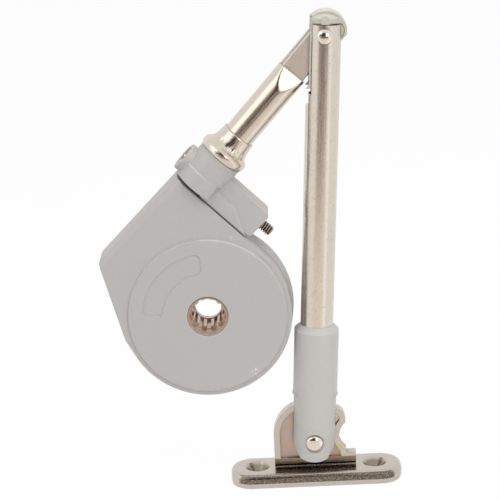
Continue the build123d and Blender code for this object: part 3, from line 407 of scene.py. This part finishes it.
def castNickel(name, s):
    # Nickel over a zinc die casting: bright on its polished rims, grit all over, the copper coat under the
    # nickel showing in the lug's recess, and painted shadow and painted dark reflections at the lug's base,
    # on the recess wall, along the plate's front edge and in the hole cones
    material, tree, shader, place = startMaterial(name)
    setInput(tree, shader, "Metallic", 1.0)
    parts = addNode(tree, "ShaderNodeSeparateXYZ", {}, {0: place}).outputs

    def fromPivot(axis):
        return calculate(tree, "SUBTRACT", parts[axis], pivot["XYZ".index(axis)])

    def within(value, limits):
        return remap(tree, value, limits[0] * mm, limits[1] * mm)

    deep = calculate(tree, "ABSOLUTE", fromPivot("Y"))
    aside = calculate(tree, "ABSOLUTE", fromPivot("X"))
    rise = fromPivot("Z")
    fromHead = distanceTo(tree, place, pivot + Vector(s["lugHead"]) * mm)
    lowBox = calculate(tree, "MULTIPLY", within(rise, s["recessBelow"]), within(aside, s["recessHalf"]))
    outline = calculate(tree, "MAXIMUM", within(fromHead, s["recessR"]), lowBox)
    outline = calculate(tree, "MULTIPLY", within(rise, s["recessFloor"]), outline)
    recess = calculate(tree, "MULTIPLY", within(deep, s["recessDeep"]), outline)
    cloud = noiseAt(tree, place, s["cloudSize"], 4, 0.65)
    grit = noiseAt(tree, place, s["gritSize"], 4, 0.7)
    nickel = mixShades(tree, cloud, *s["nickel"])
    copper = mixShades(tree, remap(tree, cloud, 0.42, 0.6), *s["copper"])
    painted = mixShades(tree, recess, nickel, copper)
    fromPlate = calculate(tree, "SUBTRACT", rise, s["plateTop"] * mm)

    def strip(t):
        level = bandOf(tree, fromPlate, *t["height"])
        return calculate(tree, "MULTIPLY", level, bandOf(tree, deep, *t["deep"]))

    # Painted dark reflection on the ledge strip and painted shadow in the undercut neck at the lug's base
    for t in (s["ledgePaintedReflection"], s["neck"]):
        painted = mixShades(tree, strip(t), painted, t["shade"])
    # Painted shade on the recess wall around the lug's head
    t = s["wall"]
    wall = calculate(tree, "MULTIPLY", bandOf(tree, deep, *t["deep"]), within(fromHead, t["nearHead"]))
    painted = mixShades(tree, wall, painted, t["shade"])
    # Painted dark reflection along the plate's front edge, broken up by grit
    t = s["frontEdgePaintedReflection"]
    speckle = remap(tree, grit, 0.45, 0.65, 1.0, 0.5)
    painted = mixShades(tree, calculate(tree, "MULTIPLY", strip(t), speckle), painted, t["shade"])
    # Painted dark reflection in the two countersunk hole cones
    t = s["holeConePaintedReflection"]
    for hand in (-t["half"], t["half"]):
        fromBore = Vector((s["plateMiddle"] + hand, 0, t["sunk"] + s["plateTop"]))
        hole = Vector((0, pivot.y, pivot.z)) + fromBore * mm
        sunk = calculate(tree, "MULTIPLY", within(distanceTo(tree, place, hole), t["reach"]), t["share"])
        painted = mixShades(tree, sunk, painted, t["shade"])
    t = s["spot"]
    spot = within(distanceTo(tree, place, pivot + Vector(t["at"]) * mm), t["reach"])
    setInput(tree, shader, "Base Color", mixShades(tree, spot, painted, t["shade"]))
    rough = remap(tree, grit, 0.3, 0.75, 0.16, 0.34)
    setInput(tree, shader, "Roughness", calculate(tree, "MULTIPLY_ADD", recess, s["recessRough"], rough))
    addBumps(tree, shader, roundedNormal(tree, s["edge"], 6), [(grit, 0.3, s["gritDepth"])])
    return material


threadSet = {
    # painted shade for the thread's roots and a painted highlight for its crests
    "paintedRootShade": "#3C2E24",
    "paintedCrestHighlight": "#E2D1BC",
    "rootR": 1.5,
    "crestR": 2.05,
    "gritSize": 0.3,
    "gritDepth": 0.03,
}


def threadedSteel(name, s):
    # Passivated steel, with a painted highlight on the thread's crests and painted shade in its roots
    material, tree, shader, place = startMaterial(name)
    setInput(tree, shader, "Metallic", 1.0)
    off = vectorMath(tree, "SUBTRACT", {0: place, 1: screwFoot})
    side = vectorMath(tree, "CROSS_PRODUCT", {0: off, 1: screwWay})
    radius = vectorMath(tree, "LENGTH", {0: side}, "Value")
    # Painted shade and highlight by distance from the axis: dark at the thread's roots, pale at its crests
    paintedLight = remap(tree, radius, s["rootR"] * mm, s["crestR"] * mm)
    setInput(tree, shader, "Base Color", mixShades(tree, paintedLight, s["paintedRootShade"], s["paintedCrestHighlight"]))
    grit = noiseAt(tree, place, s["gritSize"], 3)
    setInput(tree, shader, "Roughness", remap(tree, grit, 0.3, 0.7, 0.2, 0.36))
    addBumps(tree, shader, None, [(grit, 0.2, s["gritDepth"])])
    return material


steelSet = {"gritSize": 0.25, "gritDepth": 0.03, "edge": 0.12}


def plainSteel(name, bright, dull, rough, cloudSize=1.5):
    # Steel with a thin finish of its own: sintered, plated or oiled, mottled where the finish is uneven
    s = steelSet
    material, tree, shader, place = startMaterial(name)
    setInput(tree, shader, "Metallic", 1.0)
    cloud = noiseAt(tree, place, cloudSize, 4, 0.65)
    setInput(tree, shader, "Base Color", mixShades(tree, cloud, bright, dull))
    grit = noiseAt(tree, place, s["gritSize"], 3)
    setInput(tree, shader, "Roughness", remap(tree, grit, 0.3, 0.7, rough * 0.8, rough * 1.2))
    addBumps(tree, shader, roundedNormal(tree, s["edge"]), [(grit, 0.3, s["gritDepth"])])
    return material


scuffSpots = [  # place and radius in mm
    (Vector((16.5, -15.5, -22.5)), 2.6, "#E6E4E0"),
    (Vector((10.2, -15.3, 29.0)), 1.4, "#DAD7D2"),
]
casingAbs = mouldedAbs("casingAbsWarmGrey", "#B9B5B3", "#B3B0AE", 0.45, scuffSpots)
sleeveAbs = mouldedAbs("sleeveAbsLightGrey", "#C3C0BB", "#BDBAB5", 0.42)
capNylon = naturalNylon("capNylonNatural", nylonSet)
armNickel = platedNickel("armNickelDrawn", "#DCD2C6", "#CFC4B7", 0.2, armWay)
stayNickel = platedNickel("stayNickelDrawn", "#DCD3C8", "#D2C8BB", 0.24, stayWay, pits=0.75, edge=0.3)
ferruleNickel = platedNickel("ferruleNickelSpun", "#E2D9CE", "#C9BDAF", 0.2, armWay, keep=0.9, pits=0.35)
rivetNickel = platedNickel("rivetNickelTumbled", "#E6DDD3", "#D8CDC1", 0.12, -front, keep=0.9, pits=0.1)
linkNickel = platedNickel("linkNickelBlanked", "#E0D6CC", "#D1C6BA", 0.5, armWay, keep=0.5, pits=0.35)
footNickel = castNickel("footNickelCast", castSet)
hubSteel = plainSteel("hubSteelSintered", "#CDB8A8", "#B59A86", 0.34, 2.0)
springSteel = plainSteel("springSteelOiled", "#4A4744", "#33312F", 0.35)
screwSteel = threadedSteel("screwSteelPassivated", threadSet)
zincSteel = plainSteel("zincSteelPlated", "#C9CCD0", "#A8ABB0", 0.25)
print("stage: materials made")

# Nodes that keep their shape, with their finish

finishes = {
    "hub": hubSteel,
    "hub_washers": zincSteel,
    "front_cover": casingAbs,
    "rear_housing": casingAbs,
    "housing_screws": zincSteel,
    "drum_spring": springSteel,
    "spring_shoe": zincSteel,
    "shoe_nut": zincSteel,
    "adjusting_screw": screwSteel,
    "screw_washer": zincSteel,
    "screw_clip": springSteel,
    "arm_ferrule": ferruleNickel,
    "inner_arm": armNickel,
    "arm_link": linkNickel,
    "link_liner": capNylon,
    "elbow_rivet": rivetNickel,
    "elbow_washers": zincSteel,
    "outer_arm": stayNickel,
    "end_cap": capNylon,
    "fork_sleeve": sleeveAbs,
    "foot_rivet": rivetNickel,
    "foot_washers": zincSteel,
    "foot_bracket": footNickel,
}
for name, material in finishes.items():
    node = frame["nodes"][name]
    node.data.materials.clear()
    node.data.materials.append(material)
print("stage: nodes finished")

# Ferrule: spun flange, then a cone crimped onto the tube

ferruleSet = {
    "outline": [(48.15, 8.25), (48.7, 8.8), (50.0, 9.08), (51.2, 8.85), (51.95, 8.1), (52.5, 7.45),
                (53.6, 6.95), (55.0, 6.62), (56.8, 6.4), (58.2, 6.3)],
    "rim": [(58.55, 6.15), (58.6, 5.95), (58.45, 5.75)],
    "boreR": 5.7,
    "foldCount": 17,
    "foldDepth": 0.34,
    "foldFrom": 51.9,
    "foldTo": 55.6,
    "foldUneven": 2.4,
    "around": 144,
}


def makeFerrule(s):
    outside = smoothCurve(s["outline"], 5) + s["rim"]
    inside = [(57.8, s["boreR"]), (53.0, s["boreR"]), (48.2, s["boreR"])]
    rings = []
    for along, radius in outside + inside:
        ring = []
        for k in range(s["around"]):
            turn = 2 * math.pi * k / s["around"]
            r = radius
            if radius > s["boreR"] + 0.2:
                starts = easeStep(along, s["foldFrom"], s["foldFrom"] + 0.8)
                window = starts * (1 - easeStep(along, s["foldTo"] - 2, s["foldTo"]))
                uneven = noise.noise(Vector((math.cos(turn) * 2.2, math.sin(turn) * 2.2, along * 0.25)))
                fold = 0.5 + 0.5 * math.cos(s["foldCount"] * turn + s["foldUneven"] * uneven)
                r -= s["foldDepth"] * window * (1 - fold ** 0.6) * (0.7 + 0.6 * uneven)
            ring.append(onArm(along, r * math.cos(turn), r * math.sin(turn)))
        rings.append(ring)
    piece = newPiece("ferrule", ringMesh("ferrule", rings, True), "drum", ferruleNickel)
    sharpen(piece.data, 50)
    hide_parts("arm_ferrule")


makeFerrule(ferruleSet)

# Inner arm: drawn tube, its front pressed down onto the link at the upper end

armSet = {
    "radius": 5.65,
    "wall": 0.85,
    "from": 35.2,
    "to": 88.0,
    "pressFrom": 79.6,
    "pressFlatFrom": 88.2,
    "pressHeight": 3.55,
    "crease": 0.35,
    "around": 160,
    "step": 0.4,
}


def pressedHeight(along, s):
    t = min(max((along - s["pressFrom"]) / (s["pressFlatFrom"] - s["pressFrom"]), 0), 1)
    return s["radius"] + 0.3 + (s["pressHeight"] - s["radius"] - 0.3) * t


def makeInnerArm(s):
    count = int((s["to"] - s["from"]) / s["step"])
    places = [s["from"] + (s["to"] - s["from"]) * i / count for i in range(count + 1)]
    shell = [(a, s["radius"]) for a in places]
    shell[0] = (shell[0][0], s["radius"] - 0.1)
    shell += [(s["to"] - 0.02, s["radius"] - 0.25), (s["to"], s["radius"] - 0.5)]
    shell += [(a, s["radius"] - s["wall"]) for a in reversed(places)]
    rings = []
    for along, radius in shell:
        ring = []
        drop = s["radius"] - radius
        for k in range(s["around"]):
            turn = 2 * math.pi * k / s["around"]
            aside, ahead = radius * math.cos(turn), radius * math.sin(turn)
            if along > s["pressFrom"] - 1:
                ahead = smoothMin(ahead, pressedHeight(along, s) - drop, s["crease"])
            ring.append(onArm(along, aside, ahead))
        rings.append(ring)
    piece = newPiece("innerArm", ringMesh("innerArm", rings, True), "drum", armNickel)
    sharpen(piece.data, 40)
    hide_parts("inner_arm")


makeInnerArm(armSet)

# Adjusting screw: pan head with a cross recess, rolled thread along its whole shank

screwSet = {
    "headFace": -45.2,
    "headR": 3.9,
    "headT": 2.3,
    "grooveFrom": -26.6,
    "grooveTo": -25.7,
    "grooveR": 1.6,
    "tip": -3.2,
    "outerR": 2.1,
    "rootR": 1.5,
    "pitch": 0.95,
    "around": 48,
    "perTurn": 8,
    "flank": (0.12, 0.88),  # shares of the pitch where the thread's flank starts and ends
    "taper": 0.6,
    "taperSlope": 0.9,
    "recessLong": 4.4,
    "recessWide": 1.0,
    "recessDeep": 1.5,
    "recessDraft": 0.55,
}


def threadR(a, turn, s):
    # The shank's radius at a place along it, for a share of one turn
    wave = ((a - s["headFace"]) / s["pitch"] - turn) % 1.0
    height = easeStep(1 - abs(2 * wave - 1), *s["flank"])
    r = s["rootR"] + (s["outerR"] - s["rootR"]) * height
    r = min(r, s["outerR"] - s["taperSlope"] * max(a - (s["tip"] - s["taper"]), 0))
    if s["grooveFrom"] < a < s["grooveTo"]:
        r = s["grooveR"]
    if a >= s["tip"] - 0.03:
        r = min(r, s["rootR"] * 0.95)
    return r


def cutRecess(piece, s):
    cutter = bpy.data.meshes.new("recessTool")
    tool = bmesh.new()
    for long, wide in ((s["recessLong"], s["recessWide"]), (s["recessWide"], s["recessLong"])):
        corners = []
        for depth, share in ((-0.5, 1.15), (s["recessDeep"], s["recessDraft"])):
            for x, y in ((-1, -1), (1, -1), (1, 1), (-1, 1)):
                a = x * long / 2 * (share if long > wide else 1)
                b = y * wide / 2 * (share if wide > long else 1)
                corners.append(tool.verts.new(onScrew(s["headFace"] + depth, a, b)))
        for quad in ((3, 2, 1, 0), (4, 5, 6, 7), (0, 1, 5, 4), (1, 2, 6, 5), (2, 3, 7, 6), (3, 0, 4, 7)):
            tool.faces.new([corners[i] for i in quad])
    bmesh.ops.recalc_face_normals(tool, faces=tool.faces)
    tool.to_mesh(cutter)
    tool.free()
    toolObject = bpy.data.objects.new("recessTool", cutter)
    bpy.context.scene.collection.objects.link(toolObject)
    cut = piece.modifiers.new("recess", "BOOLEAN")
    cut.object = toolObject
    cut.operation = "DIFFERENCE"
    cut.solver = "EXACT"
    cut.use_self = True
    applied(piece)
    bpy.data.objects.remove(toolObject)


def makeScrew(s):
    face = s["headFace"]
    head = smoothCurve([(face, 0.4), (face + 0.02, 2.6), (face + 0.35, 3.5), (face + 1.0, s["headR"]),
                        (face + s["headT"] - 0.1, s["headR"])], 4)
    shank = []
    step = s["pitch"] / s["perTurn"]
    along = s["headFace"] + s["headT"]
    while along < s["tip"]:
        shank.append(along)
        along += step
    around = range(s["around"])
    turns = [2 * math.pi * k / s["around"] for k in around]
    rings = [[onScrew(a, r * math.cos(turn), r * math.sin(turn)) for turn in turns] for a, r in head]
    for a in shank + [s["tip"] - 0.02, s["tip"]]:
        reach = [threadR(a, k / s["around"], s) for k in around]
        rings.append([onScrew(a, r * math.cos(turn), r * math.sin(turn)) for r, turn in zip(reach, turns)])
    mesh = ringMesh("adjustingScrew", rings, False)
    piece = newPiece("adjustingScrew", mesh, "screw", screwSteel)
    cutRecess(piece, s)
    sharpen(piece.data, 40)
    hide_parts("adjusting_screw")


makeScrew(screwSet)

# Rivets of the elbow and the foot: shank between two tumbled dome heads

rivetSet = {
    "around": 64,
    "domeSteps": 16,
    "domePower": 1.15,
    "shankR": 2.0,
    "heads": {
        "elbow_rivet": {"name": "elbowRivet", "at": elbow, "headR": 2.85, "headT": 1.3, "body": "outer_arm"},
        "foot_rivet": {"name": "footRivet", "at": pivot, "headR": 3.2, "headT": 1.4, "body": "outer_arm"},
    },
}


def makeRivets(s):
    for node, head in s["heads"].items():
        reach = max(abs(corner.co.y - head["at"].y) for corner in frame["nodes"][node].data.vertices) / mm
        seat = reach - head["headT"]
        dome = []
        for i in range(1, s["domeSteps"] + 1):
            turn = math.pi / 2 * i / s["domeSteps"]
            height = head["headT"] * math.cos(turn) ** s["domePower"]
            dome.append((seat + height, head["headR"] * math.sin(turn)))
        side = dome + [(seat - 0.01, head["headR"] - 0.15), (seat - 0.02, s["shankR"])]
        line = side + [(-a, r) for a, r in reversed(side)]
        rings = []
        for along, radius in line:
            ring = []
            for k in range(s["around"]):
                turn = 2 * math.pi * k / s["around"]
                point = Vector((radius * math.cos(turn), -along, radius * math.sin(turn)))
                ring.append(head["at"] + point * mm)
            rings.append(ring)
        mesh = ringMesh(head["name"], rings, False)
        piece = newPiece(head["name"], mesh, head["body"], rivetNickel)
        sharpen(piece.data, 60)
        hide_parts(node)


makeRivets(rivetSet)
print("stage: metal pieces made")

# Stage: pale floor, white surroundings, soft lamps, and cards that only metal mirrors

stageSet = {
    "floorSize": 4.0,
    "fibreSize": 1.5,
    "paper": ("#FAFAF9", "#F5F5F4"),
    "paperRough": 0.9,
    "paperGlow": 0.95,  # share of plain white that the camera and mirrors see, the rest keeps the shadow
    "worldWhite": "#FFFFFF",
    "worldDim": 0.4,
    "worldSeen": 1.0,
}


def seenPlainly(tree):
    # 1 for what the camera sees, directly or in a mirror or through something clear
    ray = addNode(tree, "ShaderNodeLightPath").outputs
    direct = calculate(tree, "MAXIMUM", ray["Is Camera Ray"], ray["Is Glossy Ray"])
    return calculate(tree, "MAXIMUM", direct, ray["Is Transmission Ray"])


def paperFloor(s):
    # White sweep paper: matte, and plain white to the camera and to mirrors, with the shadow kept
    material, tree, shader, place = startMaterial("floorPaperWhite")
    fibre = noiseAt(tree, place, s["fibreSize"], 3)
    setInput(tree, shader, "Base Color", mixShades(tree, fibre, *s["paper"]))
    setInput(tree, shader, "Roughness", s["paperRough"])
    share = calculate(tree, "MULTIPLY", seenPlainly(tree), s["paperGlow"])
    glow = addNode(tree, "ShaderNodeEmission", {"Strength": 1.0})
    mix = addNode(tree, "ShaderNodeMixShader", {}, {0: share, 1: shader.outputs[0], 2: glow.outputs[0]})
    output = [node for node in tree.nodes if node.type == "OUTPUT_MATERIAL"][0]
    tree.links.new(mix.outputs[0], output.inputs["Surface"])
    return material


def makeFloor(s):
    mesh = bpy.data.meshes.new("studioFloor")
    half = s["floorSize"] / 2
    corners = [(-half, -half, low.z), (half, -half, low.z), (half, half, low.z), (-half, half, low.z)]
    mesh.from_pydata(corners, [], [(0, 1, 2, 3)])
    mesh.materials.append(paperFloor(s))
    floor = bpy.data.objects.new("studioFloor", mesh)
    bpy.context.scene.collection.objects.link(floor)


def makeWorld(s):
    world = bpy.data.worlds.new("studioWorld")
    bpy.context.scene.world = world
    world.use_nodes = True
    tree = world.node_tree
    tree.nodes.clear()
    white = {"Color": colour(s["worldWhite"])}
    dim = addNode(tree, "ShaderNodeBackground", white | {"Strength": s["worldDim"]})
    seen = addNode(tree, "ShaderNodeBackground", white | {"Strength": s["worldSeen"]})
    links = {0: seenPlainly(tree), 1: dim.outputs[0], 2: seen.outputs[0]}
    mix = addNode(tree, "ShaderNodeMixShader", {}, links)
    addNode(tree, "ShaderNodeOutputWorld", {}, {"Surface": mix.outputs[0]})


low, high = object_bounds()
makeFloor(stageSet)
makeWorld(stageSet)

middle = (low + high) / 2
lamps = {
    "keyLamp": {"place": (0.45, -0.55, 0.6), "size": 0.8, "power": 3.2, "mirrored": False},
    "fillLamp": {"place": (-0.6, -0.5, 0.4), "size": 0.8, "power": 1.1, "mirrored": True},
    "topLamp": {"place": (0.05, -0.05, 0.8), "size": 0.9, "power": 3.8, "mirrored": False},
}
for name, s in lamps.items():
    lamp = bpy.data.lights.new(name, "AREA")
    lamp.shape = "DISK"
    lamp.size = s["size"]
    lamp.energy = s["power"]
    holder = bpy.data.objects.new(name, lamp)
    bpy.context.scene.collection.objects.link(holder)
    holder.location = s["place"]
    holder.visible_glossy = s["mirrored"]
    holder.rotation_mode = "QUATERNION"
    holder.rotation_quaternion = (middle - Vector(s["place"])).to_track_quat("-Z", "Y")

cards = {
    "paleCardFloor": {"corners": [(0.045, -0.028, -0.06), (0.19, -0.28, -0.06), (-0.135, -0.264, -0.06),
                                  (0.03, -0.028, -0.06)],
                      "shade": "#FFF8F1"},
    "beigeCardFloor": {"corners": [(0.19, -0.28, -0.06), (0.275, -0.43, -0.06), (-0.235, -0.405, -0.06),
                                   (-0.135, -0.264, -0.06)],
                       "shade": "#F6ECE4"},
    "brownCardFloor": {"corners": [(0.275, -0.43, -0.06), (0.34, -0.54, -0.06), (-0.313, -0.505, -0.06),
                                   (-0.235, -0.405, -0.06)],
                       "shade": "#D6C8BC"},
    "darkCardFloor": {"corners": [(0.34, -0.54, -0.06), (0.74, -1.232, -0.06), (-0.783, -1.153, -0.06),
                                  (-0.313, -0.505, -0.06)],
                      "shade": "#75655A"},
    "whiteCardFloor": {"corners": [(0.047, -0.024, -0.059), (0.81, -0.92, -0.059), (0.99, -0.74, -0.059),
                                   (0.055, -0.017, -0.059)],
                       "shade": "#FFFFFF", "strength": 1.3},
    "whiteCardRight": {"corners": [(0.18, -0.66, 0.06), (0.44, -0.6, 0.06), (0.44, -0.6, 0.34),
                                   (0.18, -0.66, 0.34)],
                       "shade": "#FFFFFF", "strength": 2.1},
    "greyCardLeft": {"corners": [(-0.5, -0.5, 0.05), (-0.16, -0.7, 0.05), (-0.16, -0.7, 0.3),
                                 (-0.5, -0.5, 0.3)],
                     "shade": "#8E7D73"},
    "darkCardWall": {"corners": [(-0.2, -0.66, 0.03), (0.16, -0.66, 0.03), (0.16, -0.66, 0.45),
                                 (-0.2, -0.66, 0.45)],
                     "shade": "#3A322D"},
}
for name, s in cards.items():
    mesh = bpy.data.meshes.new(name)
    mesh.from_pydata(s["corners"], [], [(0, 1, 2, 3)])
    card = bpy.data.objects.new(name, mesh)
    bpy.context.scene.collection.objects.link(card)
    material = bpy.data.materials.new(name)
    material.use_nodes = True
    tree = material.node_tree
    tree.nodes.clear()
    light = {"Color": colour(s["shade"]), "Strength": s.get("strength", 1.0)}
    glow = addNode(tree, "ShaderNodeEmission", light)
    addNode(tree, "ShaderNodeOutputMaterial", {}, {"Surface": glow.outputs[0]})
    mesh.materials.append(material)
    card.visible_camera = False
    card.visible_diffuse = False
    card.visible_shadow = False
    card.visible_transmission = False

cameraSet = {
    "place": (24.92, -613.97, 201.68),
    "look": (-0.01338, 0.95882, -0.28370),
    "up": (0.04517, 0.28402, 0.95776),
    "lens": 124.92,
}
eye = bpy.data.cameras.new("photoCamera")
eye.lens = cameraSet["lens"]
eye.sensor_width = 36
camera = bpy.data.objects.new("photoCamera", eye)
bpy.context.scene.collection.objects.link(camera)
look = Vector(cameraSet["look"]).normalized()
up = Vector(cameraSet["up"]).normalized()
turn = Matrix((look.cross(up), up, -look)).transposed()
camera.matrix_world = Matrix.Translation(Vector(cameraSet["place"]) * mm) @ turn.to_4x4()
bpy.context.scene.camera = camera
bpy.context.scene.view_settings.view_transform = "Standard"
print("stage: studio set")
